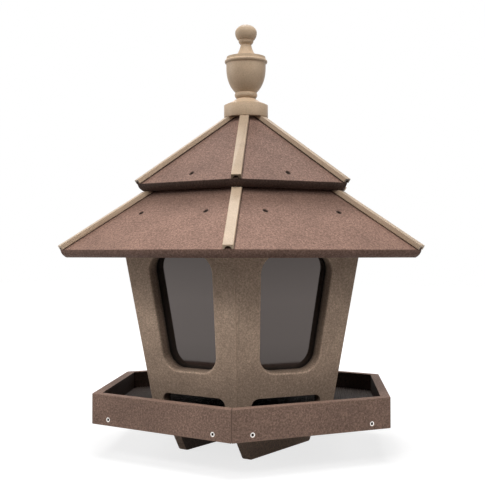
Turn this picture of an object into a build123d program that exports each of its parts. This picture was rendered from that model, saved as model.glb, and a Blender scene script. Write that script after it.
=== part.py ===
from build123d import *
import os
from math import acos, atan, cos, radians, sin, tan

# Gazebo bird feeder, in millimetres, +Z up.
# The origin is on the axis, level with the bottoms of the post brackets.
# The hexagon's flats face +Y and -Y, and its corners point along +X and -X.

# Post brackets
post_gap = 94.0
bracket_thickness = 12.7
bracket_height = 48.0
bracket_foot_length = 154.0
bracket_end_slant = 31.0
bracket_corner_radius = 6.0
bracket_screw_spacing = 96.0
bracket_screw_bite = 25.0

# Tray
tray_across_flats = 390.2
rail_height = 40.0
rail_thickness = 12.7
floor_thickness = 15.9
tray_screw_spacing = 169.0
tray_screw_bite = 19.0

# Hopper walls, measured up their slope from the floor
hopper_foot_across_flats = 240.8
wall_thickness = 15.9
wall_lean = 9.8
window_sill = 55.0
window_height = 155.0
window_foot_width = 83.0
window_head_width = 105.0
window_corner_radius = 24.0
window_round_over = 3.5
slot_width = 102.0
slot_height = 22.0
slot_corner_radius = 9.5
wall_screw_bite = 22.0

# Window panes
pane_thickness = 3.0
pane_lap = 11.0
pane_screw_shank = 2.6
pane_screw_head = 5.4
pane_screw_head_height = 1.8
pane_screw_bite = 10.0

# Lower roof
lower_roof_across_flats = 465.0
lower_eave_above_floor = 213.5
lower_pitch = 36.3
lower_roof_thickness = 12.7
lower_screw_spacing = 106.0
lower_screw_inset = 5.3
lower_screw_bite = 16.0

# Upper roof, the lid
upper_roof_across_flats = 282.6
upper_pitch = 39.0
upper_roof_thickness = 12.7
lid_overhang = 11.3
lid_eave_drop = 2.0
lid_base_thickness = 12.7
lid_plug_thickness = 12.7
lid_plug_clearance = 3.5
upper_screw_inset = 5.2
upper_screw_bite = 9.0
plug_screw_circle = 60.0
plug_screw_count = 3
plug_screw_bite = 9.0

# Both roofs
eave_crown = 1.6
roof_screw_head = 8.0

# Hip strips
strip_width = 12.7
strip_thickness = 6.35
strip_groove_radius = 4.0
strip_setback = 1.2

# Wood screws
screw_shank = 3.6
screw_head = 6.4
screw_head_angle = 82.0

# Finial and what holds it
collar_radius = 31.4
collar_height = 17.8
collar_drop = 14.6
finial_foot_radius = 28.0
finial_waist_radius = 13.2
finial_foot_lip = 1.2
finial_flare_height = 8.3
finial_flare_hollow = 0.8
finial_ring_height = 8.5
finial_ring_bulge = 2.0
finial_bowl_foot_radius = 15.0
finial_bowl_radius = 28.2
finial_bowl_height = 36.0
finial_bowl_flare = 46.0
finial_band_height = 5.5
finial_rim_height = 5.6
finial_rim_bulge = 2.4
finial_lip_height = 3.9
finial_lip_inset = 0.5
finial_shoulder_radius = 15.0
finial_shoulder_height = 1.6
finial_neck_radius = 7.6
finial_neck_height = 16.5
finial_neck_hollow = 1.3
finial_bead_radius = 10.6
finial_bead_height = 7.2
finial_bead_bulge = 1.3
finial_ball_foot_radius = 12.2
finial_ball_radius = 15.6
finial_ball_crown = 12.0
finial_ball_side = 9.0
bolt_diameter = 8.0
bolt_in_finial = 26.0
bolt_tail = 6.0
washer_diameter = 24.0
washer_thickness = 2.0
nut_across_flats = 13.0
nut_thickness = 6.5
peak_block_height = 24.0

# Clearances
joint_gap = 0.2
lid_gap = 0.3
hole_gap = 0.15
tip_gap = 1.0

# Hexagon
sides = 6
sector = 360 / sides
half_sector = sector / 2
corner_ratio = 1 / cos(radians(half_sector))

# Heights and half sizes that follow
floor_bottom = bracket_height
floor_top = floor_bottom + floor_thickness
rail_apothem = tray_across_flats / 2
floor_apothem = rail_apothem - rail_thickness - joint_gap
foot_apothem = hopper_foot_across_flats / 2
wall_depth = wall_thickness / cos(radians(wall_lean))

lower_apothem = lower_roof_across_flats / 2
lower_eave = floor_top + lower_eave_above_floor
lower_tan = tan(radians(lower_pitch))
upper_apothem = upper_roof_across_flats / 2
upper_tan = tan(radians(upper_pitch))

# The lower roof is cut off flat, and the lid stands on that rim
lid_eave_apothem = upper_apothem - upper_roof_thickness * sin(radians(upper_pitch))
rim_apothem = lid_eave_apothem - lid_overhang
rim = lower_eave + (lower_apothem - rim_apothem) * lower_tan
opening_apothem = rim_apothem - lower_roof_thickness / sin(radians(lower_pitch))
lid_base_bottom = rim + lid_gap
lid_eave_bottom = lid_base_bottom - lid_eave_drop
lid_base_apothem = lid_eave_apothem - lid_eave_drop / upper_tan
upper_eave = lid_eave_bottom + upper_roof_thickness * cos(radians(upper_pitch))
peak = upper_eave + upper_apothem * upper_tan
collar_bottom = peak - collar_drop
collar_top = collar_bottom + collar_height
peak_inside = peak - upper_roof_thickness / cos(radians(upper_pitch))
block_bottom = peak_inside - peak_block_height
bolt_hole_radius = bolt_diameter / 2 + hole_gap
blank = lower_roof_across_flats
down_from_seat = (Align.CENTER, Align.CENTER, Align.MAX)
up_from_seat = (Align.CENTER, Align.CENTER, Align.MIN)


def outward(angle):
    """Level unit vector that points out from the axis at an angle."""
    return Vector(cos(radians(angle)), sin(radians(angle)), 0)


def face_angle(side):
    return -90 + side * sector


def corner_angle(side):
    return face_angle(side) + half_sector


def face_plane(side, apothem, height, lean):
    """Plane on one side: x runs along it, y up it, and its normal faces out, tipped up by lean."""
    out = outward(face_angle(side))
    normal = out * cos(radians(lean)) + Vector(0, 0, sin(radians(lean)))
    return Plane(out * apothem + Vector(0, 0, height), outward(face_angle(side) + 90), normal)


def mitre_planes(side):
    """The upright planes at the two corners of a side, a little inside the corner."""
    planes = []
    for turn in (-1, 1):
        corner = face_angle(side) + turn * half_sector
        away = outward(corner + turn * 90)
        planes.append(Plane(away * (-joint_gap / 2), outward(corner), away))
    return planes


def wall_plane(side):
    return face_plane(side, foot_apothem, floor_top, -wall_lean)


def pane_plane(side):
    """Inner face of a wall's pane."""
    return wall_plane(side).offset(-wall_thickness - joint_gap - pane_thickness)


def lower_plane(side):
    return face_plane(side, lower_apothem, lower_eave, 90 - lower_pitch)


def upper_plane(side):
    return face_plane(side, upper_apothem, upper_eave, 90 - upper_pitch)


def level(height):
    return Plane.XY.offset(height)


def points_on(plane, spots):
    """The plane moved to each spot, given in the plane's own x and y."""
    return [Plane(plane.from_local_coords((x, y, 0)), plane.x_dir, plane.z_dir) for x, y in spots]


def pair(spacing, y):
    return [(-spacing / 2, y), (spacing / 2, y)]


def window_half_width(y):
    """Half the window's width at a distance up the wall from the floor."""
    rise = (y - window_sill) / window_height
    return (window_foot_width + (window_head_width - window_foot_width) * rise) / 2


# Where each screw's head lies
def tray_screw_seats(side):
    rail_face = face_plane(side, rail_apothem, floor_bottom, 0)
    return points_on(rail_face, pair(tray_screw_spacing, floor_thickness / 2))


def wall_screw_seats(side):
    """Under the floor, up into the middle of each wall's two legs."""
    apothem = foot_apothem - wall_depth / 2 + wall_screw_bite / 2 * tan(radians(wall_lean))
    leg_middle = (slot_width / 2 + apothem * tan(radians(half_sector))) / 2
    out = outward(face_angle(side))
    along = outward(face_angle(side) + 90)
    base = out * apothem + Vector(0, 0, floor_bottom)
    return [Plane(base + along * (turn * leg_middle), along, (0, 0, -1)) for turn in (-1, 1)]


def bracket_screw_seats(turn):
    x = turn * (post_gap + bracket_thickness) / 2
    return points_on(level(floor_top), [(x, y) for y, _ in pair(bracket_screw_spacing, 0)])


def pane_screw_seats(side):
    """Two screws up each edge of a pane, between the window and the edge."""
    spots = []
    for share in (0.15, 0.85):
        y = window_sill + share * window_height
        x = window_half_width(y) + pane_lap / 2
        spots += [(-x, y), (x, y)]
    return points_on(pane_plane(side), spots)


def lower_screw_seats(side):
    """Through the roof into the top of the wall, a set distance in from the wall's outer edge."""
    drop = lower_roof_thickness / cos(radians(lower_pitch))
    wall_tan = tan(radians(wall_lean))
    rise = lower_eave_above_floor - drop + (lower_apothem - foot_apothem) * lower_tan
    wall_top = rise / (1 + wall_tan * lower_tan)
    run = lower_apothem - foot_apothem - wall_top * wall_tan
    climb = wall_top - lower_eave_above_floor
    up_roof = run * cos(radians(lower_pitch)) + climb * sin(radians(lower_pitch))
    return points_on(lower_plane(side), pair(lower_screw_spacing, up_roof + lower_screw_inset))


def upper_screw_seats(side):
    """Through the roof into the bevelled edge of the lid's base, below its top edge."""
    bevel = (lid_eave_drop + lid_base_thickness) / sin(radians(upper_pitch))
    return points_on(upper_plane(side), [(0, bevel - upper_screw_inset)])


def plug_screw_seats():
    below = Plane((0, 0, lid_base_bottom - joint_gap - lid_plug_thickness), (1, 0, 0), (0, 0, -1))
    turns = [radians(360 * n / plug_screw_count) for n in range(plug_screw_count)]
    return points_on(below, [(plug_screw_circle * cos(t), plug_screw_circle * sin(t)) for t in turns])


def every_side(seats):
    return [seat for side in range(sides) for seat in seats(side)]


def sink(seats, head):
    """Countersunk clearance holes through the piece that the screws clamp."""
    with Locations(*seats):
        CounterSinkHole(
            screw_shank / 2 + hole_gap,
            head / 2 + hole_gap,
            counter_sink_angle=screw_head_angle,
        )


def pilot(seats, shank, depth):
    """Holes for the screws' ends in the piece that they hold in."""
    with Locations(*seats):
        Hole(shank / 2 + hole_gap, depth + tip_gap)


def save(piece, name):
    piece.part.label = name
    export_step(piece.part, f"parts/{name}.step")


def wood_screws(name, seats, length, head):
    """Countersunk screws, their heads flush with the faces that they clamp."""
    head_height = (head - screw_shank) / 2 / tan(radians(screw_head_angle / 2))
    with BuildPart() as screws:
        with Locations(*seats):
            Cylinder(screw_shank / 2, length, align=down_from_seat)
            Cone(screw_shank / 2, head / 2, head_height, align=down_from_seat)
    save(screws, name)


def post_bracket(name, turn):
    """Board along Y under the tray, its ends cut back towards its bottom edge."""
    reach = bracket_height * tan(radians(bracket_end_slant))
    foot = bracket_foot_length / 2
    inner_face = Plane((turn * post_gap / 2, 0, 0), (0, 1, 0), (1, 0, 0))
    with BuildPart() as bracket:
        with BuildSketch(inner_face) as outline:
            with BuildLine():
                Polyline(
                    (-foot, 0),
                    (foot, 0),
                    (foot + reach, bracket_height - joint_gap),
                    (-foot - reach, bracket_height - joint_gap),
                    close=True,
                )
            make_face()
            fillet(outline.vertices().group_by(Axis.Z)[0], bracket_corner_radius)
        extrude(amount=turn * bracket_thickness)
        pilot(bracket_screw_seats(turn), screw_shank, floor_thickness + bracket_screw_bite)
    save(bracket, name)


def tray_floor():
    with BuildPart() as floor:
        with BuildSketch(level(floor_bottom)):
            RegularPolygon(floor_apothem, sides, major_radius=False)
        extrude(amount=floor_thickness)
        sink(every_side(wall_screw_seats), screw_head)
        sink(bracket_screw_seats(-1) + bracket_screw_seats(1), screw_head)
        pilot(every_side(tray_screw_seats), screw_shank, rail_thickness + tray_screw_bite)
    save(floor, "tray_floor")


def tray_rail(side):
    with BuildPart() as rail:
        with BuildSketch(face_plane(side, rail_apothem, floor_bottom, 0)):
            Rectangle(tray_across_flats, rail_height, align=(Align.CENTER, Align.MIN))
        extrude(amount=-rail_thickness)
        for plane in mitre_planes(side):
            split(bisect_by=plane, keep=Keep.BOTTOM)
        sink(tray_screw_seats(side), screw_head)
    save(rail, f"tray_rail_{side + 1}")


def wall_panel(side):
    """Leaning wall, mitred to its neighbours and bevelled to the roof, with a window and a seed slot."""
    plane = wall_plane(side)
    sill = window_half_width(window_sill)
    head = window_half_width(window_sill + window_height)
    with BuildPart() as wall:
        with BuildSketch(plane):
            Rectangle(blank, 2 * blank)
        extrude(amount=-wall_thickness)
        split(bisect_by=level(floor_top + joint_gap), keep=Keep.TOP)
        split(bisect_by=lower_plane(side).offset(-lower_roof_thickness - joint_gap), keep=Keep.BOTTOM)
        for mitre in mitre_planes(side):
            split(bisect_by=mitre, keep=Keep.BOTTOM)
        with BuildSketch(plane) as window:
            with BuildLine():
                Polyline(
                    (-sill, window_sill),
                    (sill, window_sill),
                    (head, window_sill + window_height),
                    (-head, window_sill + window_height),
                    close=True,
                )
            make_face()
            fillet(window.vertices(), window_corner_radius)
        extrude(amount=wall_thickness, both=True, mode=Mode.SUBTRACT)
        with BuildSketch(plane) as slot:
            Rectangle(slot_width, 2 * slot_height)
            fillet(slot.vertices(), slot_corner_radius)
        extrude(amount=wall_thickness, both=True, mode=Mode.SUBTRACT)
        outer_face = wall.faces().sort_by(Axis(plane.origin, plane.z_dir))[-1]
        fillet(outer_face.inner_wires()[0].edges(), window_round_over)
        pilot(wall_screw_seats(side), screw_shank, floor_thickness + wall_screw_bite)
        pilot(lower_screw_seats(side), screw_shank, lower_roof_thickness + lower_screw_bite)
        pilot(pane_screw_seats(side), pane_screw_shank, pane_thickness + pane_screw_bite)
    save(wall, f"wall_panel_{side + 1}")


def window_pane(side):
    """Smoked sheet that laps the window all round on the wall's inner face."""
    bottom = window_sill - pane_lap
    top = window_sill + window_height + pane_lap
    sill = window_half_width(bottom) + pane_lap
    head = window_half_width(top) + pane_lap
    with BuildPart() as pane:
        with BuildSketch(pane_plane(side)):
            with BuildLine():
                Polyline((-sill, bottom), (sill, bottom), (head, top), (-head, top), close=True)
            make_face()
        extrude(amount=pane_thickness)
        pilot(pane_screw_seats(side), pane_screw_shank, pane_thickness)
    save(pane, f"window_pane_{side + 1}")


def pane_screws():
    """Pan-head screws, driven outward from inside the hopper."""
    heads = [
        Plane(seat.origin, seat.x_dir, -seat.z_dir).offset(joint_gap)
        for seat in every_side(pane_screw_seats)
    ]
    length = joint_gap + pane_thickness + pane_screw_bite
    with BuildPart() as screws:
        with Locations(*heads):
            Cylinder(pane_screw_shank / 2, length, align=down_from_seat)
            Cylinder(pane_screw_head / 2, pane_screw_head_height, align=up_from_seat)
    save(screws, "pane_screws")


def roof_panel(name, side, plane, thickness, top, seats, bore):
    """Sloping panel with a crowned eave, mitred at the hips and cut off level at its top."""
    across_eave = Plane(plane.origin, plane.y_dir, plane.x_dir)
    with BuildPart() as panel:
        with BuildSketch(across_eave):
            with BuildLine():
                Polyline((0, 0), (blank, 0), (blank, -thickness), (0, -thickness))
                SagittaArc((0, -thickness), (0, 0), eave_crown)
            make_face()
        extrude(amount=blank, both=True)
        split(bisect_by=level(top), keep=Keep.BOTTOM)
        for mitre in mitre_planes(side):
            split(bisect_by=mitre, keep=Keep.BOTTOM)
        sink(seats, roof_screw_head)
        if bore:
            with Locations(level(top)):
                Hole(bore)
    save(panel, name)


def hip_slope(pitch):
    return atan(tan(radians(pitch)) / corner_ratio)


def hip_frame(side, apothem, eave, pitch):
    """Plane across a hip, square to it, at the strip's lower end, with y standing off the roof."""
    hip = hip_slope(pitch)
    out = outward(corner_angle(side))
    up_hip = out * -cos(hip) + Vector(0, 0, sin(hip))
    corner = out * (apothem * corner_ratio) + Vector(0, 0, eave)
    return Plane(corner + up_hip * strip_setback, outward(corner_angle(side) - 90), up_hip)


def strip_seat(pitch):
    """Height of a strip's flat underside over the hip's ridge line, which lies in its groove."""
    hip = hip_slope(pitch)
    slope = radians(pitch)
    fall = acos(sin(hip) * sin(slope) / corner_ratio + cos(hip) * cos(slope))
    return joint_gap / cos(fall) - strip_groove_radius * tan(fall)


def hip_strip(name, side, apothem, eave, pitch, top):
    """Flat strip over a hip, grooved underneath to straddle the ridge and cut off level at its top."""
    seat = strip_seat(pitch)
    rise = top + strip_thickness - eave
    with BuildPart() as strip:
        with BuildSketch(hip_frame(side, apothem, eave, pitch)):
            with Locations((0, seat)):
                Rectangle(strip_width, strip_thickness, align=(Align.CENTER, Align.MIN))
                Circle(strip_groove_radius, mode=Mode.SUBTRACT)
        extrude(amount=rise / sin(hip_slope(pitch)) - strip_setback)
        split(bisect_by=level(top), keep=Keep.BOTTOM)
    save(strip, name)


def lid_base():
    """Hexagonal board, its edges bevelled to the underside of the upper roof."""
    with BuildPart() as base:
        with BuildSketch(level(lid_base_bottom)):
            RegularPolygon(lid_base_apothem - joint_gap, sides, major_radius=False)
        extrude(amount=lid_base_thickness, taper=90 - upper_pitch)
        pilot(every_side(upper_screw_seats), screw_shank, upper_roof_thickness + upper_screw_bite)
        pilot(plug_screw_seats(), screw_shank, joint_gap + lid_plug_thickness + plug_screw_bite)
    save(base, "lid_base")


def peak_block():
    """Block inside the roof's point, which the finial's bolt pulls against."""
    with BuildPart() as block:
        with BuildSketch(level(block_bottom)):
            RegularPolygon(peak_block_height / upper_tan - joint_gap, sides, major_radius=False)
        extrude(amount=peak_block_height - bolt_diameter, taper=90 - upper_pitch)
        with Locations(level(block_bottom)):
            Hole(bolt_hole_radius)
    save(block, "peak_block")


def lid_plug():
    with BuildPart() as plug:
        with BuildSketch(level(lid_base_bottom - joint_gap)):
            RegularPolygon(opening_apothem - lid_plug_clearance, sides, major_radius=False)
        extrude(amount=-lid_plug_thickness)
        sink(plug_screw_seats(), screw_head)
    save(plug, "lid_plug")


def finial_collar():
    with BuildPart() as collar:
        with BuildSketch(level(collar_bottom)):
            Circle(collar_radius)
            Circle(bolt_hole_radius, mode=Mode.SUBTRACT)
        extrude(amount=collar_height)
    save(collar, "finial_collar")


def finial():
    """Turned urn: flared foot, ring, bowl with a beaded rim and lip, neck, bead and flattened ball."""
    foot = collar_top + joint_gap
    flare = foot + finial_foot_lip
    ring = flare + finial_flare_height
    bowl = ring + finial_ring_height
    band = bowl + finial_bowl_height
    rim_foot = band + finial_band_height
    lip = rim_foot + finial_rim_height
    shoulder = lip + finial_lip_height
    neck = shoulder + finial_shoulder_height
    bead = neck + finial_neck_height
    ball = bead + finial_bead_height
    ball_middle = ball + (finial_ball_radius**2 - finial_ball_foot_radius**2) ** 0.5
    top = ball_middle + finial_ball_crown
    side_centre = finial_ball_radius - finial_ball_side
    cap_radius = (finial_ball_crown**2 + side_centre**2 - finial_ball_side**2) / (
        2 * (finial_ball_crown - finial_ball_side)
    )
    cap_angle = atan(side_centre / (cap_radius - finial_ball_crown))
    cap_edge = (cap_radius * sin(cap_angle), top - cap_radius * (1 - cos(cap_angle)))
    lip_radius = finial_bowl_radius - finial_lip_inset
    bowl_flare = radians(finial_bowl_flare)
    with BuildPart() as urn:
        with BuildSketch(Plane.XZ):
            with BuildLine():
                Polyline((0, top), (0, foot), (finial_foot_radius, foot), (finial_foot_radius, flare))
                SagittaArc((finial_foot_radius, flare), (finial_waist_radius, ring), finial_flare_hollow)
                SagittaArc((finial_waist_radius, ring), (finial_bowl_foot_radius, bowl), -finial_ring_bulge)
                Spline(
                    (finial_bowl_foot_radius, bowl),
                    (finial_bowl_radius, band),
                    tangents=[(sin(bowl_flare), cos(bowl_flare)), (0, 1)],
                )
                Line((finial_bowl_radius, band), (finial_bowl_radius, rim_foot))
                SagittaArc((finial_bowl_radius, rim_foot), (finial_bowl_radius, lip), -finial_rim_bulge)
                Polyline((finial_bowl_radius, lip), (lip_radius, shoulder), (finial_shoulder_radius, neck))
                SagittaArc((finial_shoulder_radius, neck), (finial_neck_radius, bead), finial_neck_hollow)
                SagittaArc((finial_neck_radius, bead), (finial_bead_radius, ball), -finial_bead_bulge)
                Line((finial_bead_radius, ball), (finial_ball_foot_radius, ball))
                RadiusArc(
                    (finial_ball_foot_radius, ball), (finial_ball_radius, ball_middle), -finial_ball_radius
                )
                RadiusArc((finial_ball_radius, ball_middle), cap_edge, -finial_ball_side)
                RadiusArc(cap_edge, (0, top), -cap_radius)
            make_face()
        revolve(axis=Axis.Z)
        with Locations(level(foot)):
            Hole(bolt_hole_radius, bolt_in_finial + tip_gap)
    save(urn, "finial")


def finial_bolt():
    bottom = block_bottom - joint_gap - washer_thickness - joint_gap - nut_thickness - bolt_tail
    with BuildPart() as bolt:
        with BuildSketch(level(bottom)):
            Circle(bolt_diameter / 2)
        extrude(amount=collar_top + bolt_in_finial - bottom)
    save(bolt, "finial_bolt")


def finial_washer():
    with BuildPart() as washer:
        with BuildSketch(level(block_bottom - joint_gap)):
            Circle(washer_diameter / 2)
            Circle(bolt_hole_radius, mode=Mode.SUBTRACT)
        extrude(amount=-washer_thickness)
    save(washer, "finial_washer")


def finial_nut():
    with BuildPart() as nut:
        with BuildSketch(level(block_bottom - 2 * joint_gap - washer_thickness)):
            RegularPolygon(nut_across_flats / 2, sides, major_radius=False)
            Circle(bolt_hole_radius, mode=Mode.SUBTRACT)
        extrude(amount=-nut_thickness)
    save(nut, "finial_nut")


os.makedirs("parts", exist_ok=True)

post_bracket("post_bracket_left", -1)
post_bracket("post_bracket_right", 1)
tray_floor()
pane_screws()
lid_base()
lid_plug()
peak_block()
finial_collar()
finial()
finial_bolt()
finial_washer()
finial_nut()

for side in range(sides):
    number = side + 1
    tray_rail(side)
    wall_panel(side)
    window_pane(side)
    roof_panel(
        f"lower_roof_panel_{number}",
        side,
        lower_plane(side),
        lower_roof_thickness,
        rim,
        lower_screw_seats(side),
        0,
    )
    hip_strip(
        f"lower_hip_strip_{number}",
        side,
        lower_apothem,
        lower_eave,
        lower_pitch,
        lid_eave_bottom - lid_gap,
    )
    roof_panel(
        f"upper_roof_panel_{number}",
        side,
        upper_plane(side),
        upper_roof_thickness,
        collar_bottom - joint_gap,
        upper_screw_seats(side),
        bolt_hole_radius,
    )
    hip_strip(
        f"upper_hip_strip_{number}",
        side,
        upper_apothem,
        upper_eave,
        upper_pitch,
        collar_bottom - joint_gap,
    )

bracket_seats = bracket_screw_seats(-1) + bracket_screw_seats(1)
wood_screws("tray_screws", every_side(tray_screw_seats), rail_thickness + tray_screw_bite, screw_head)
wood_screws("wall_screws", every_side(wall_screw_seats), floor_thickness + wall_screw_bite, screw_head)
wood_screws("bracket_screws", bracket_seats, floor_thickness + bracket_screw_bite, screw_head)
wood_screws("plug_screws", plug_screw_seats(), lid_plug_thickness + plug_screw_bite, screw_head)
wood_screws(
    "lower_roof_screws",
    every_side(lower_screw_seats),
    lower_roof_thickness + lower_screw_bite,
    roof_screw_head,
)
wood_screws(
    "upper_roof_screws",
    every_side(upper_screw_seats),
    upper_roof_thickness + upper_screw_bite,
    roof_screw_head,
)
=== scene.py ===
from math import cos, pi, radians, sin, tan

import bmesh
import bpy
import numpy as np
from mathutils import Matrix, Vector


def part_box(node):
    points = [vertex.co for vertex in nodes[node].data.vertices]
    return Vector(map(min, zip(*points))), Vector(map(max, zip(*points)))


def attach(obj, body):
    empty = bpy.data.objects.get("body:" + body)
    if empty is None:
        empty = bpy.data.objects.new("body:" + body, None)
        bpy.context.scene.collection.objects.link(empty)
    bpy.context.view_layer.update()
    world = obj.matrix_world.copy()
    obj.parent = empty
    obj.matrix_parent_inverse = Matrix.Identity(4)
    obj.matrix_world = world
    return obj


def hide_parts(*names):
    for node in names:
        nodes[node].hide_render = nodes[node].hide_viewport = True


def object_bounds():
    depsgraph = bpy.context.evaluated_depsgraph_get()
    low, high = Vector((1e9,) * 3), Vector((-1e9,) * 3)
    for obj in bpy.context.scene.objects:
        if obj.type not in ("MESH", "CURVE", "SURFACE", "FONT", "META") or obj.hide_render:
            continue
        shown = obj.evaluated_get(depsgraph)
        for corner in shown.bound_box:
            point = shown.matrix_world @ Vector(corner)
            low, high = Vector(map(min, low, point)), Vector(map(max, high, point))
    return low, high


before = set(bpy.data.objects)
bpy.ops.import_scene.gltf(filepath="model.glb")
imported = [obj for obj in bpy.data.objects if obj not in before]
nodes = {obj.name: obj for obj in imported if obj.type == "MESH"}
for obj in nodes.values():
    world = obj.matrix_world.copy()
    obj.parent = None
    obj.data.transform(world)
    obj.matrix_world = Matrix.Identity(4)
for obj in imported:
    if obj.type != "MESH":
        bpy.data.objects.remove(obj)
cad_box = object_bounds()

# Camera, fitted to the photograph: pixels for image and focal length, millimetres for the sensor,
# metres and degrees for its place
IMAGE_SIZE = 485
FOCAL_PIXELS = 907.9
SENSOR = 36.0
CAMERA_TURN = 34.6
CAMERA_DISTANCE = 1.2976
CAMERA_SIDESTEP = -0.005
CAMERA_HEIGHT = 0.2718
CAMERA_PITCH = 0.73

# Soft lamps: bearing from the camera's side and height, both in degrees, and watts
LAMPS = {
    "front": (0, 60, 22.0),
    "left": (-60, 20, 4.5),
    "right": (60, 20, 10.0),
    "side": (-100, 15, 13.0),
    "overhead": (180, 65, 20.0),
    "rear": (180, 35, 5.0),
}
LAMP_DISTANCE = 2.2
LAMP_SIZE = 1.0
LAMP_AIM = Vector((0, 0, 0.3))

# The key lamp, a soft spot on the front corner
KEY_BEARING = -14
KEY_HEIGHT = 36
KEY_WATTS = 43.0
KEY_CONE = 24
KEY_DISTANCE = 1.3
KEY_SIZE = 0.25
KEY_AIM_OUT = 0.17
KEY_AIM_UP = 0.21

# The white surroundings: what light they give, and a floor that glows to white away from the feeder,
# given by two distances in metres and the strengths there
WHITE = (1, 1, 1, 1)
WORLD_STRENGTH = 0.012
FLOOR_HALF = 6.0
FLOOR_GAP = 0.0004
FLOOR_PALE = (0.45, 0.45, 0.45, 1)
FLOOR_ROUGHNESS = 0.9
FLOOR_GLOW = ((0.35, 1.0), (0.76, 1.0))

# Colours, linear
UPPER_BROWN = (0.254, 0.157, 0.123)
# A paler copy of the lid's brown, as painted light on the lower roof
LOWER_LIT_BROWN = (0.290, 0.176, 0.135)
WALL_TAUPE = (0.462, 0.336, 0.250)
RAIL_BROWN = (0.240, 0.154, 0.118)
FLOOR_GREY = (0.102, 0.081, 0.071)
# Paler than the rails' brown, as painted light that lifts the brackets out of the tray's shade
BRACKET_LIT_BROWN = (0.480, 0.344, 0.264)
TAN = (0.620, 0.460, 0.315)
STRIP_TAN = (0.575, 0.432, 0.305)
# The panes' near-black is partly smoke and partly painted shade for the dark hopper seen through them
SMOKE_AND_HOPPER_SHADE = (0.006, 0.006, 0.006)
PANE_TINT = (1.0, 0.86, 0.81)
BRIGHT_STEEL = (0.97, 0.93, 0.88)
COATED_STEEL = (0.040, 0.023, 0.017)

# The boards' flecks, clouds and grain. A pair of spans holds values of noise and what they turn into
BOARD_FLECKS = dict(scale=430, detail=4.0, roughness=0.8)
BOARD_CLOUDS = dict(scale=28, detail=3.0)
BOARD_GRAIN = dict(scale=900, detail=3.0)
BOARD_BUMP = dict(strength=0.35, distance=0.0004)
BOARD_CLOUDINESS = ((0.3, 0.7), (0.90, 1.10))
BOARD_ROUGHNESS = ((0.2, 0.8), (0.72, 0.52))
BOARD_GLOSS = 0.12
DARK_FLECKS_AT = 0.32
PLAIN_AT = 0.50
PALE_FLECKS_AT = 0.68
DARK_FLECK_SHARE = 0.7

# The tan trim's flecks, clouds and grain. Tones are places on a ramp and factors on the colour
TRIM_FLECKS = dict(scale=640, detail=3.0, roughness=0.6)
TRIM_CLOUDS = dict(scale=45, detail=4.0)
TRIM_GRAIN = dict(scale=1100)
TRIM_BUMP = dict(strength=0.2, distance=0.0003)
STRIP_BUMP = dict(strength=0.05, distance=0.0003)
TRIM_TONES = ((0.30, 0.86), (0.50, 1.0), (0.72, 1.10))
TRIM_CLOUDINESS = ((0.3, 0.7), (0.93, 1.06))
TRIM_ROUGHNESS = ((0.2, 0.8), (0.52, 0.40))
TRIM_GLOSS = 0.25

# The panes' dust, and their reflections' tint by height in metres, darker towards the top as painted
# shade
PANE_DUST = dict(scale=60, detail=5.0, roughness=0.7)
PANE_TONES = ((0.45, 1.0), (0.80, 2.2))
PANE_ROUGHNESS = ((0.3, 0.8), (0.05, 0.11))
PANE_HEIGHTS = ((0.10, 0.28), (0.0, 1.0))
# Painted shade on the panes' reflections, darker towards their tops
PANE_REFLECTION_SHADE = ((0.10, 0.84), (0.32, 1.0), (0.62, 1.0), (0.92, 0.70))
PANE_IOR = 1.82

# The screws' steel
STEEL_WEAR = dict(scale=700, detail=3.0, roughness=0.6)
STEEL_TONES = ((0.3, 0.75), (0.7, 1.0))
STEEL_WEAR_SPAN = (0.2, 0.8)
STEEL_DULLED = 0.12
BRIGHT_ROUGHNESS = 0.22
COATED_ROUGHNESS = 0.6
COATED_GLOSS = 0.15

# Factors on a board's colour, painted light and shade: the span over which each changes, and its values
# at the span's two ends.
# These go by the rise of a face's normal, with painted shade on faces that look down or aside and painted
# light on faces that look up
EAVE_RISE = (0.05, 0.25)
# Painted shade on the roofs' eaves and other faces that look down or aside, stronger on the lid's
UPPER_EAVE_SHADE = (EAVE_RISE, (0.213, 1.0))
LOWER_EAVE_SHADE = (EAVE_RISE, (0.59, 1.0))
# Painted shade on the lid strips' ends, which look down the slope
STRIP_END_SHADE = ((-0.30, -0.10), (0.25, 1.0))
# Painted light on the rails' tops
RAIL_TOP_LIGHT = ((0.5, 0.9), (1.0, 1.35))
# Painted light on the walls' faces that look up, the sills most
SILL_TOP_LIGHT = ((0.1, 0.6), (1.0, 1.38))
# Painted light on the trim's tops and painted shade on its undersides
TRIM_LIGHT_AND_SHADE = ((-0.6, 0.7), (0.73, 1.38))

# These go by height in metres: painted shadow under the lid's eave, painted shade at the walls' feet
# above the tray, painted shade on the finial's top
FINIAL_TOP = cad_box[1].z
TOP_SHADE_DEPTH = 0.009
# Painted shadow on the lower roof under the lid's eave
LID_EAVE_SHADOW = ((0.318, 0.352), (1.0, 0.56))
# Painted shade on the walls' feet, where the rails shade them
LOW_WALL_SHADE = ((0.080, 0.150), (0.74, 1.0))
# Painted shade on the finial's topmost cap
FINIAL_TOP_SHADE = ((FINIAL_TOP - TOP_SHADE_DEPTH, FINIAL_TOP), (1.0, 0.42))

# Painted shade on the rails' insides and on the brackets' sides by the post.
# These go by how far a face that looks towards the middle of the foot stands from it, in metres,
# which counts as negative
RAIL_INSIDE_SHADE = ((-0.10, -0.02), (0.17, 1.0))
# Painted shade on the brackets' sides that face the post
POST_SIDE_SHADE = ((-0.04, -0.01), (0.30, 1.0))

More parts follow.
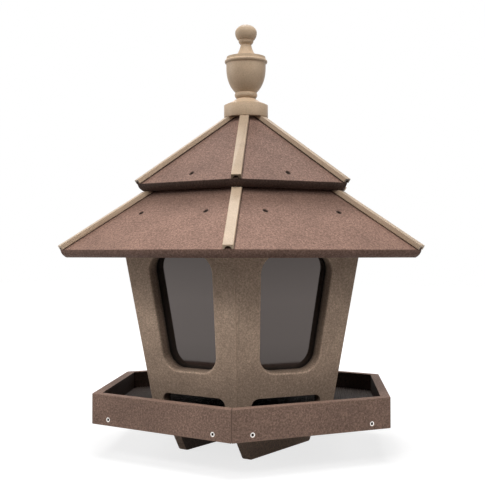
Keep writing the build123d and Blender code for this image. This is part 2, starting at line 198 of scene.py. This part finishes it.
# These go by distance from a hip's plane in metres: painted shadow beside the hip strips, and dark joints
# between the rails
STRIP_SIDE = 0.0064
STRIP_SHADOW_WIDTH = 0.0018
MITRE_WIDTH = 0.0014
ROOF_STRIP_SHADOW = ((STRIP_SIDE, STRIP_SIDE + STRIP_SHADOW_WIDTH), (0.45, 1.0))
RAIL_MITRE = ((0.0, MITRE_WIDTH), (0.55, 1.0))

# These go by depth into a wall's openings, as a share of the wall's thickness: a painted highlight on the
# lips and painted shade deeper in
LIP_HIGHLIGHT = 1.12
RECESS_LIGHT_AND_SHADE_TONES = ((0.0, 1.0), (0.02, LIP_HIGHLIGHT), (0.05, 1.0), (0.09, 0.66), (0.60, 0.56), (0.92, 0.2))

# The walls' outer faces: distance from the axis at their feet, height of their feet, lean, thickness
WALL_FOOT = 0.1204
WALL_FLOOR = 0.0639
WALL_LEAN = radians(9.8)
WALL_DEPTH = 0.0161

# Directions square to the hexagon's three pairs of flats
FLAT_TURNS = (radians(30), radians(90), radians(150))

# Edges: how they are rounded, and how pale and how widely they are made, part wear and part painted
# highlight, sizes in metres
EDGE_ROUND = 0.0006
EDGE_SEGMENTS = 2
# Edge paleness, part wear and part painted highlight
EDGE_PALE_AND_HIGHLIGHT = 1.35
EDGE_WEAR_AND_HIGHLIGHT_REACH = 0.0011
RAIL_EDGE_PALE_AND_HIGHLIGHT = 1.25
RAIL_EDGE_WEAR_AND_HIGHLIGHT_REACH = 0.0035
WORN_COSINES = (0.98, 0.80)
WEAR_SAMPLES = 4
WELD = 0.00001
SHARP = radians(60)
SHADE_ANGLE = radians(28)

# The tray floor's ribs, in metres, and half the angle that a hexagon's side spans at its axis
RIB_TURN = radians(-60)
RIB_PITCH = 0.0034
RIB_WIDTH = 0.0019
RIB_TOP_WIDTH = RIB_WIDTH / 2
RIB_HEIGHT = 0.0010
RIB_MARGIN = 0.0004
HALF_SIDE_TURN = radians(30)

# Screws: in metres, with the lip as a share of the head's radius and the tip of the shank's
SCREW_SIDES = 24
SOCKET_ACROSS = 0.0032
SOCKET_DEPTH = 0.0018
SOCKET_TAPER = 0.8
SOCKET_FLARE = 1.12
SCREW_LIP = 1 / 16
SCREW_TIP = 1 / 8
SCREW_POINT = 0.004
ROOF_SCREW_SINK = 0.0007
TRAY_SCREW_SINK = 0.0004


def scaled(colour, factor):
    """A colour times a factor, with no channel over 1."""
    return tuple(min(1.0, channel * factor) for channel in colour)


class Graph:
    """A node tree under construction."""

    def __init__(self, tree):
        self.tree = tree

    def node(self, kind, **settings):
        made = self.tree.nodes.new(kind)
        for name, value in settings.items():
            setattr(made, name, value)
        return made

    def put(self, value, socket):
        """Links a socket to another one, or sets it to a plain value."""
        if isinstance(value, bpy.types.NodeSocket):
            self.tree.links.new(value, socket)
        else:
            socket.default_value = value

    def calculate(self, operation, *terms):
        made = self.node("ShaderNodeMath", operation=operation)
        for term, socket in zip(terms, made.inputs):
            self.put(term, socket)
        return made.outputs["Value"]

    def spread(self, value, span, results):
        """Turns a span of values evenly into a span of results, which hold beyond its ends."""
        made = self.node("ShaderNodeMapRange")
        for name, number in zip(("From Min", "From Max", "To Min", "To Max"), (*span, *results)):
            made.inputs[name].default_value = number
        self.put(value, made.inputs["Value"])
        return made.outputs["Result"]

    def seen(self):
        """1 for rays that show the thing itself, directly, in a mirror or through glass, otherwise 0."""
        rays = self.node("ShaderNodeLightPath").outputs
        mirrored = self.calculate("MAXIMUM", rays["Is Camera Ray"], rays["Is Glossy Ray"])
        return self.calculate("MAXIMUM", mirrored, rays["Is Transmission Ray"])


class Shader(Graph):
    """A procedural material under construction."""

    def __init__(self, name):
        self.material = bpy.data.materials.new(name)
        self.material.use_nodes = True
        super().__init__(self.material.node_tree)
        self.surface = self.tree.nodes["Principled BSDF"]
        coordinates = self.node("ShaderNodeTexCoord")
        self.place = coordinates.outputs["Object"]
        self.normal = coordinates.outputs["Normal"]

    def finish(self, **values):
        """Feeds or sets the surface's own sockets, named with underscores for spaces."""
        for name, value in values.items():
            self.put(value, self.surface.inputs[name.replace("_", " ")])

    def noise(self, scale, detail=2.0, roughness=0.5):
        made = self.node("ShaderNodeTexNoise")
        made.inputs["Scale"].default_value = scale
        made.inputs["Detail"].default_value = detail
        made.inputs["Roughness"].default_value = roughness
        self.put(self.place, made.inputs["Vector"])
        return made.outputs["Fac"]

    def tones(self, value, colour, stops):
        """A ramp of one colour, multiplied by a factor at each stop."""
        made = self.node("ShaderNodeValToRGB")
        elements = made.color_ramp.elements
        while len(elements) < len(stops):
            elements.new(0.5)
        for element, (position, factor) in zip(elements, stops):
            element.position = position
            element.color = (*scaled(colour, factor), 1.0)
        self.put(value, made.inputs["Fac"])
        return made.outputs["Color"]

    def mix(self, share, first, second, blend="MIX"):
        """Two colours mixed, each given as a socket or as four numbers."""
        made = self.node("ShaderNodeMix", data_type="RGBA", blend_type=blend)
        into = {socket.identifier: socket for socket in made.inputs}
        for name, value in (("Factor_Float", share), ("A_Color", first), ("B_Color", second)):
            self.put(value, into[name])
        return {socket.identifier: socket for socket in made.outputs}["Result_Color"]

    def shaded(self, colour, factors):
        """A colour multiplied by each factor in turn."""
        for factor in factors:
            colour = self.mix(1.0, colour, factor, "MULTIPLY")
        return colour

    def dot(self, first, second):
        made = self.node("ShaderNodeVectorMath", operation="DOT_PRODUCT")
        self.put(first, made.inputs[0])
        self.put(second, made.inputs[1])
        return made.outputs["Value"]

    def upward(self, vector):
        """The z part of a vector."""
        parts = self.node("ShaderNodeSeparateXYZ")
        self.put(vector, parts.inputs["Vector"])
        return parts.outputs["Z"]

    def edges(self, radius):
        """1 on sharp edges, falling to 0 on flat faces."""
        rounded = self.node("ShaderNodeBevel", samples=WEAR_SAMPLES)
        rounded.inputs["Radius"].default_value = radius
        flat = self.node("ShaderNodeNewGeometry").outputs["Normal"]
        return self.spread(self.dot(rounded.outputs["Normal"], flat), WORN_COSINES, (0.0, 1.0))

    def bump(self, height, strength, distance):
        made = self.node("ShaderNodeBump")
        made.inputs["Strength"].default_value = strength
        made.inputs["Distance"].default_value = distance
        self.put(height, made.inputs["Height"])
        self.finish(Normal=made.outputs["Normal"])


def by_rise(change):
    """A factor that changes with the rise of a face's normal."""
    return lambda shader: shader.spread(shader.upward(shader.normal), *change)


def by_height(change):
    """A factor that changes with height."""
    return lambda shader: shader.spread(shader.upward(shader.place), *change)


def by_inwardness(change):
    """A factor that changes on faces that look towards the middle of the foot, used for painted shade."""
    return lambda shader: shader.spread(shader.dot(shader.normal, shader.place), *change)


def flat_distance(shader, pick):
    """How far a point lies from the axis, square to the hexagon's flats, by one of their three pairs.

    The MINIMUM is the distance from the nearest hip's plane, and the MAXIMUM the one to the flat outside.
    """
    first, second, third = (
        shader.calculate("ABSOLUTE", shader.dot(shader.place, (cos(turn), sin(turn), 0)))
        for turn in FLAT_TURNS
    )
    return shader.calculate(pick, shader.calculate(pick, first, second), third)


def mitred(shader):
    """Darker along the joints between the rails."""
    return shader.spread(flat_distance(shader, "MINIMUM"), *RAIL_MITRE)


def strip_shadowed(shader):
    """Painted shadow: darker on a roof along its hip strips, but not on its eaves."""
    seam = shader.spread(flat_distance(shader, "MINIMUM"), *ROOF_STRIP_SHADOW)
    eave = shader.spread(shader.upward(shader.normal), EAVE_RISE, (1.0, 0.0))
    return shader.calculate("MAXIMUM", seam, eave)


def recess_light_and_shade(shader):
    """A painted highlight on the lips of a wall's openings and painted shade into them, by depth behind
    its outer face.
    """
    slope = tan(WALL_LEAN)
    axis_distance = WALL_FOOT - slope * WALL_FLOOR
    face = shader.calculate("MULTIPLY_ADD", shader.upward(shader.place), slope, axis_distance)
    behind = shader.calculate("SUBTRACT", face, flat_distance(shader, "MAXIMUM"))
    depth = shader.spread(behind, (0.0, WALL_DEPTH), (0.0, 1.0))
    shade = shader.tones(depth, (1 / LIP_HIGHLIGHT, 1 / LIP_HIGHLIGHT, 1 / LIP_HIGHLIGHT), RECESS_LIGHT_AND_SHADE_TONES)
    return shader.calculate("MULTIPLY", shade, LIP_HIGHLIGHT)


def board(name, colour, fleck=0.5, pale=EDGE_PALE_AND_HIGHLIGHT, wear=EDGE_WEAR_AND_HIGHLIGHT_REACH, shades=()):
    """Recycled plastic lumber: speckled, a little cloudy, matt, and paler on its edges, part rubbed wear
    and part painted highlight; its shades add painted light and shade.
    """
    shader = Shader(name)
    flecks = shader.noise(**BOARD_FLECKS)
    stops = ((DARK_FLECKS_AT, 1 - DARK_FLECK_SHARE * fleck), (PLAIN_AT, 1.0), (PALE_FLECKS_AT, 1 + fleck))
    clouds = shader.spread(shader.noise(**BOARD_CLOUDS), *BOARD_CLOUDINESS)
    cloudy = shader.shaded(shader.tones(flecks, colour, stops), [clouds])
    rubbed_and_highlit = shader.mix(shader.edges(wear), cloudy, (*scaled(colour, pale), 1.0))
    shader.finish(
        Base_Color=shader.shaded(rubbed_and_highlit, [shade(shader) for shade in shades]),
        Roughness=shader.spread(flecks, *BOARD_ROUGHNESS),
        Specular_IOR_Level=BOARD_GLOSS,
    )
    shader.bump(shader.noise(**BOARD_GRAIN), **BOARD_BUMP)
    return shader.material


def smooth_plastic(name, colour, bump, shades=()):
    """The tan trim: the same plastic, finer and smoother, with faint flecks."""
    shader = Shader(name)
    flecks = shader.noise(**TRIM_FLECKS)
    clouds = shader.spread(shader.noise(**TRIM_CLOUDS), *TRIM_CLOUDINESS)
    cloudy = shader.shaded(shader.tones(flecks, colour, TRIM_TONES), [clouds])
    shader.finish(
        Base_Color=shader.shaded(cloudy, [shade(shader) for shade in shades]),
        Roughness=shader.spread(flecks, *TRIM_ROUGHNESS),
        Specular_IOR_Level=TRIM_GLOSS,
    )
    shader.bump(shader.noise(**TRIM_GRAIN), **bump)
    return shader.material


def smoked_sheet(name):
    """Dark acrylic, opaque, glossy enough to mirror what stands before it, with a trace of dust. Its
    near-black is partly smoke and partly painted shade for the hopper behind it, and its reflection
    darkens towards the top as painted shade.
    """
    shader = Shader(name)
    dust = shader.noise(**PANE_DUST)
    height = shader.spread(shader.upward(shader.place), *PANE_HEIGHTS)
    shader.finish(
        Base_Color=shader.tones(dust, SMOKE_AND_HOPPER_SHADE, PANE_TONES),
        Roughness=shader.spread(dust, *PANE_ROUGHNESS),
        Specular_Tint=shader.tones(height, PANE_TINT, PANE_REFLECTION_SHADE),
        IOR=PANE_IOR,
    )
    return shader.material


def steel(name, colour, roughness, metal=1.0, gloss=0.5):
    """Screw steel, plain or, with no metal showing, coated."""
    shader = Shader(name)
    wear = shader.noise(**STEEL_WEAR)
    shader.finish(
        Base_Color=shader.tones(wear, colour, STEEL_TONES),
        Roughness=shader.spread(wear, STEEL_WEAR_SPAN, (roughness + STEEL_DULLED, roughness)),
        Metallic=metal,
        Specular_IOR_Level=gloss,
    )
    return shader.material


def paint(node, material):
    node.data.materials.clear()
    node.data.materials.append(material)


def soften(node):
    """Rounds a board's cut edges a little; its screw holes and routed curves are left as they are."""
    weld = node.modifiers.new("weld", "WELD")
    weld.merge_threshold = WELD
    bevel = node.modifiers.new("edges", "BEVEL")
    bevel.width = EDGE_ROUND
    bevel.segments = EDGE_SEGMENTS
    bevel.limit_method = "ANGLE"
    bevel.angle_limit = SHARP
    bevel.use_clamp_overlap = False
    split = node.modifiers.new("shading", "EDGE_SPLIT")
    split.split_angle = SHADE_ANGLE


def add_object(name, data):
    made = bpy.data.objects.new(name, data)
    bpy.context.scene.collection.objects.link(made)
    return made


def mesh_object(name, bm, materials):
    """Makes an object of a finished bmesh."""
    mesh = bpy.data.meshes.new(name)
    bm.to_mesh(mesh)
    bm.free()
    for material in materials:
        mesh.materials.append(material)
    return add_object(name, mesh)


def piece(name, bm, body, slot, *materials):
    """Makes a piece of a finished bmesh, riding on a body."""
    bmesh.ops.recalc_face_normals(bm, faces=bm.faces)
    made = mesh_object(name, bm, materials)
    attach(made, body)
    return made


def ring(bm, points):
    return [bm.verts.new(point) for point in points]


def band(bm, first, second):
    """Faces between two rings of as many points."""
    faces = []
    for n in range(len(first)):
        m = (n + 1) % len(first)
        faces.append(bm.faces.new((first[n], first[m], second[m], second[n])))
    return faces


def solids_of(name):
    """The points of each separate solid in a node."""
    bm = bmesh.new()
    bm.from_mesh(nodes[name].data)
    bmesh.ops.remove_doubles(bm, verts=bm.verts, dist=WELD)
    left = dict.fromkeys(bm.verts)
    groups = []
    while left:
        reached = [left.popitem()[0]]
        for vert in reached:
            for neighbour in (edge.other_vert(vert) for edge in vert.link_edges):
                if neighbour in left:
                    del left[neighbour]
                    reached.append(neighbour)
        groups.append(np.array([vert.co for vert in reached]))
    bm.free()
    return groups


def screw_frame(points):
    """A matrix at the middle of a screw's head, z out along its axis, with its length and radii."""
    middle = points.mean(0)
    axis = np.linalg.svd(points - middle)[2][0]
    along = (points - middle) @ axis
    away = np.linalg.norm(points - middle - np.outer(along, axis), axis=1)
    if along[away.argmax()] < 0:
        axis, along = -axis, -along
    head = Vector(middle + axis * along.max())
    turn = Vector(axis).to_track_quat("Z", "Y").to_matrix().to_4x4()
    shank = away[along < along.max() - np.ptp(along) / 2].max()
    return Matrix.Translation(head) @ turn, np.ptp(along), away.max(), shank


def circle_points(radius, height):
    turns = [2 * pi * n / SCREW_SIDES for n in range(SCREW_SIDES)]
    return [Vector((radius * cos(t), radius * sin(t), height)) for t in turns]


def socket_points(across, height):
    """Points round a square, as many as round the head."""
    points = []
    for point in circle_points(1.0, 0.0):
        reach = across / 2 / max(abs(point.x), abs(point.y))
        points.append(Vector((*(point.xy * reach), height)))
    return points


def add_screw(bm, points, sink):
    """A countersunk screw with a square socket, a conical head and a pointed shank; the socket's faces
    take the second, dark material as painted shade.
    """
    place, length, head, shank = screw_frame(points)
    lip = head * SCREW_LIP
    loops = [
        socket_points(SOCKET_ACROSS * SOCKET_TAPER, -SOCKET_DEPTH),
        socket_points(SOCKET_ACROSS, -lip),
        socket_points(SOCKET_ACROSS * SOCKET_FLARE, 0.0),
        circle_points(head - lip, 0.0),
        circle_points(head, -lip),
        circle_points(shank, -lip - (head - shank)),
        circle_points(shank, SCREW_POINT - length),
        circle_points(shank * SCREW_TIP, -length + sink),
    ]
    shift = place @ Matrix.Translation((0, 0, -sink))
    rings = [ring(bm, [shift @ point for point in loop]) for loop in loops]
    shaded_socket_faces = [bm.faces.new(rings[0])]
    bm.faces.new(rings[-1])
    shaded_socket_faces += band(bm, rings[0], rings[1])
    for inner, outer in zip(rings[1:], rings[2:]):
        band(bm, inner, outer)
    for face in shaded_socket_faces:
        face.material_index = 1


def dress_screws(name, body, head_steel, socket_shade_steel, sink):
    bm = bmesh.new()
    for points in solids_of(name):
        add_screw(bm, points, sink)
    made = piece(f"{name}_detailed", bm, body, "screw_steel", head_steel, socket_shade_steel)
    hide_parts(name)


def rib_floor(material):
    """Fine ribs on the tray's floor, from its front corner to its back one."""
    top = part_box("tray_floor")[1]
    apothem = top.y - RIB_MARGIN
    corner = apothem / cos(HALF_SIDE_TURN)
    along = Vector((cos(RIB_TURN), sin(RIB_TURN), 0))
    across = Vector((-sin(RIB_TURN), cos(RIB_TURN), 0))
    section = [
        (-RIB_WIDTH / 2, 0),
        (-RIB_TOP_WIDTH / 2, RIB_HEIGHT),
        (RIB_TOP_WIDTH / 2, RIB_HEIGHT),
        (RIB_WIDTH / 2, 0),
    ]
    bm = bmesh.new()
    count = int((apothem - RIB_WIDTH) / RIB_PITCH)
    for n in range(-count, count + 1):
        aside = n * RIB_PITCH
        reach = corner - (abs(aside) + RIB_WIDTH) * tan(HALF_SIDE_TURN)
        ends = []
        for end in (-reach, reach):
            base = along * end + Vector((0, 0, top.z))
            ends.append(ring(bm, [base + across * (aside + x) + Vector((0, 0, z)) for x, z in section]))
        band(bm, *ends)
        bm.faces.new(ends[0])
        bm.faces.new(ends[1])
    piece("floor_ribs", bm, "feeder", "floor_board", material)


def make_world():
    """White to the eye, with only a little light of its own."""
    world = bpy.data.worlds.new("studio")
    bpy.context.scene.world = world
    world.use_nodes = True
    graph = Graph(world.node_tree)
    background = world.node_tree.nodes["Background"]
    graph.put(WHITE, background.inputs["Color"])
    strength = graph.spread(graph.seen(), (0.0, 1.0), (WORLD_STRENGTH, 1.0))
    graph.put(strength, background.inputs["Strength"])


def make_floor():
    """A pale floor that keeps the feeder's shadow and runs into the white behind it."""
    shader = Shader("pale floor")
    away = shader.node("ShaderNodeVectorMath", operation="LENGTH")
    shader.put(shader.place, away.inputs[0])
    glow = shader.spread(away.outputs["Value"], *FLOOR_GLOW)
    shader.finish(
        Base_Color=FLOOR_PALE,
        Roughness=FLOOR_ROUGHNESS,
        Specular_IOR_Level=0.0,
        Emission_Color=WHITE,
        Emission_Strength=shader.calculate("MULTIPLY", shader.seen(), glow),
    )
    shader.material.cycles.emission_sampling = "NONE"
    bm = bmesh.new()
    corners = [(-1, -1), (1, -1), (1, 1), (-1, 1)]
    bm.faces.new(ring(bm, [(x * FLOOR_HALF, y * FLOOR_HALF, 0) for x, y in corners]))
    floor = mesh_object("floor", bm, [shader.material])
    floor.location.z = cad_box[0].z - FLOOR_GAP


def level_direction(bearing):
    """The level direction at a bearing from the camera's side."""
    turn = radians(CAMERA_TURN + bearing)
    return Vector((sin(turn), -cos(turn), 0))


def hang(lamp, aim, bearing, height, distance):
    """Hangs a lamp at a distance from the point that it shines on."""
    rise = radians(height)
    away = level_direction(bearing) * cos(rise) + Vector((0, 0, sin(rise)))
    made = add_object(lamp.name, lamp)
    made.location = aim + away * distance
    made.rotation_euler = away.to_track_quat("Z", "Y").to_euler()


def make_lamps():
    for name, (bearing, height, watts) in LAMPS.items():
        lamp = bpy.data.lights.new(name, "AREA")
        lamp.energy = watts
        lamp.size = LAMP_SIZE
        hang(lamp, LAMP_AIM, bearing, height, LAMP_DISTANCE)


def make_key():
    lamp = bpy.data.lights.new("key", "SPOT")
    lamp.energy = KEY_WATTS
    lamp.spot_size = radians(KEY_CONE)
    lamp.spot_blend = 1.0
    lamp.shadow_soft_size = KEY_SIZE
    aim = level_direction(KEY_BEARING) * KEY_AIM_OUT + Vector((0, 0, KEY_AIM_UP))
    hang(lamp, aim, KEY_BEARING, KEY_HEIGHT, KEY_DISTANCE)


def make_camera():
    turn = radians(CAMERA_TURN)
    right = Vector((cos(turn), sin(turn), 0))
    ahead = Vector((-sin(turn), cos(turn), 0))
    camera = bpy.data.cameras.new("camera")
    camera.sensor_width = SENSOR
    camera.lens = FOCAL_PIXELS * SENSOR / IMAGE_SIZE
    made = add_object("camera", camera)
    made.location = right * CAMERA_SIDESTEP - ahead * CAMERA_DISTANCE + Vector((0, 0, CAMERA_HEIGHT))
    made.rotation_euler = (radians(90 + CAMERA_PITCH), 0, turn)
    bpy.context.scene.camera = made


# Materials
# The roofs are one board in two copies: the lower roof's is paler as painted light, and its eaves take
# weaker painted shade than the lid's
upper_board = board("upper roof board", UPPER_BROWN, fleck=0.68, shades=(by_rise(UPPER_EAVE_SHADE), strip_shadowed))
lower_board = board(
    "lower roof board",
    LOWER_LIT_BROWN,
    fleck=0.65,
    shades=(by_rise(LOWER_EAVE_SHADE), by_height(LID_EAVE_SHADOW), strip_shadowed),
)
wall_board = board(
    "wall board",
    WALL_TAUPE,
    fleck=0.52,
    shades=(recess_light_and_shade, by_height(LOW_WALL_SHADE), by_rise(SILL_TOP_LIGHT)),
)
rail_board = board(
    "rail board",
    RAIL_BROWN,
    fleck=0.72,
    pale=RAIL_EDGE_PALE_AND_HIGHLIGHT,
    wear=RAIL_EDGE_WEAR_AND_HIGHLIGHT_REACH,
    shades=(by_inwardness(RAIL_INSIDE_SHADE), by_rise(RAIL_TOP_LIGHT), mitred),
)
inner_board = board("inner board", RAIL_BROWN)
floor_board = board("floor board", FLOOR_GREY)
bracket_board = board("bracket board", BRACKET_LIT_BROWN, shades=(by_inwardness(POST_SIDE_SHADE),))
tan_trim = smooth_plastic("tan trim", TAN, TRIM_BUMP, shades=(by_rise(TRIM_LIGHT_AND_SHADE), by_height(FINIAL_TOP_SHADE)))
# The lid's strips take painted shade on their ends; the roof's strips are the same plastic without it
lid_strip_trim = smooth_plastic("lid strip", STRIP_TAN, STRIP_BUMP, shades=(by_rise(STRIP_END_SHADE),))
roof_strip_trim = smooth_plastic("roof strip", STRIP_TAN, STRIP_BUMP)
pane_sheet = smoked_sheet("smoked sheet")
bright_steel = steel("bright steel", BRIGHT_STEEL, BRIGHT_ROUGHNESS)
dark_steel = steel("coated steel", COATED_STEEL, COATED_ROUGHNESS, metal=0.0, gloss=COATED_GLOSS)

# What each node is made of, by its name without a number, and the boards whose edges are softened
finishes = {
    "upper_roof_panel": upper_board,
    "upper_hip_strip": lid_strip_trim,
    "lower_roof_panel": lower_board,
    "lower_hip_strip": roof_strip_trim,
    "finial": tan_trim,
    "finial_collar": tan_trim,
    "finial_bolt": bright_steel,
    "finial_washer": bright_steel,
    "finial_nut": bright_steel,
    "peak_block": inner_board,
    "lid_base": inner_board,
    "lid_plug": inner_board,
    "wall_panel": wall_board,
    "window_pane": pane_sheet,
    # The pane screws stand in the hopper's shade; their dark coating is painted shade that keeps a glint
    # from showing there
    "pane_screws": dark_steel,
    "tray_rail": rail_board,
    "tray_floor": floor_board,
    "post_bracket_left": bracket_board,
    "post_bracket_right": bracket_board,
}
softened = {
    "upper_roof_panel",
    "upper_hip_strip",
    "lower_roof_panel",
    "lower_hip_strip",
    "finial_collar",
    "peak_block",
    "lid_base",
    "lid_plug",
    "wall_panel",
    "tray_rail",
    "post_bracket_left",
    "post_bracket_right",
}
for name, node in nodes.items():
    stem = name.rstrip("_0123456789")
    if stem in finishes:
        paint(node, finishes[stem])
    if stem in softened:
        soften(node)

# Detail that stands on the nodes or in their place: ribs, and each set of screws by its body, its heads'
# steel and how far they are sunk
rib_floor(floor_board)
screws = {
    "tray_screws": ("feeder", bright_steel, TRAY_SCREW_SINK),
    "wall_screws": ("feeder", bright_steel, 0.0),
    "bracket_screws": ("feeder", bright_steel, 0.0),
    "lower_roof_screws": ("feeder", dark_steel, ROOF_SCREW_SINK),
    "upper_roof_screws": ("lid", dark_steel, ROOF_SCREW_SINK),
    "plug_screws": ("lid", bright_steel, 0.0),
}
# Every socket takes the dark coated steel, as painted shade in the socket
for name, (body, head_steel, sink) in screws.items():
    dress_screws(name, body, head_steel, dark_steel, sink)

# Surroundings
make_world()
make_floor()
make_lamps()
make_key()
make_camera()
bpy.context.scene.view_settings.view_transform = "Standard"
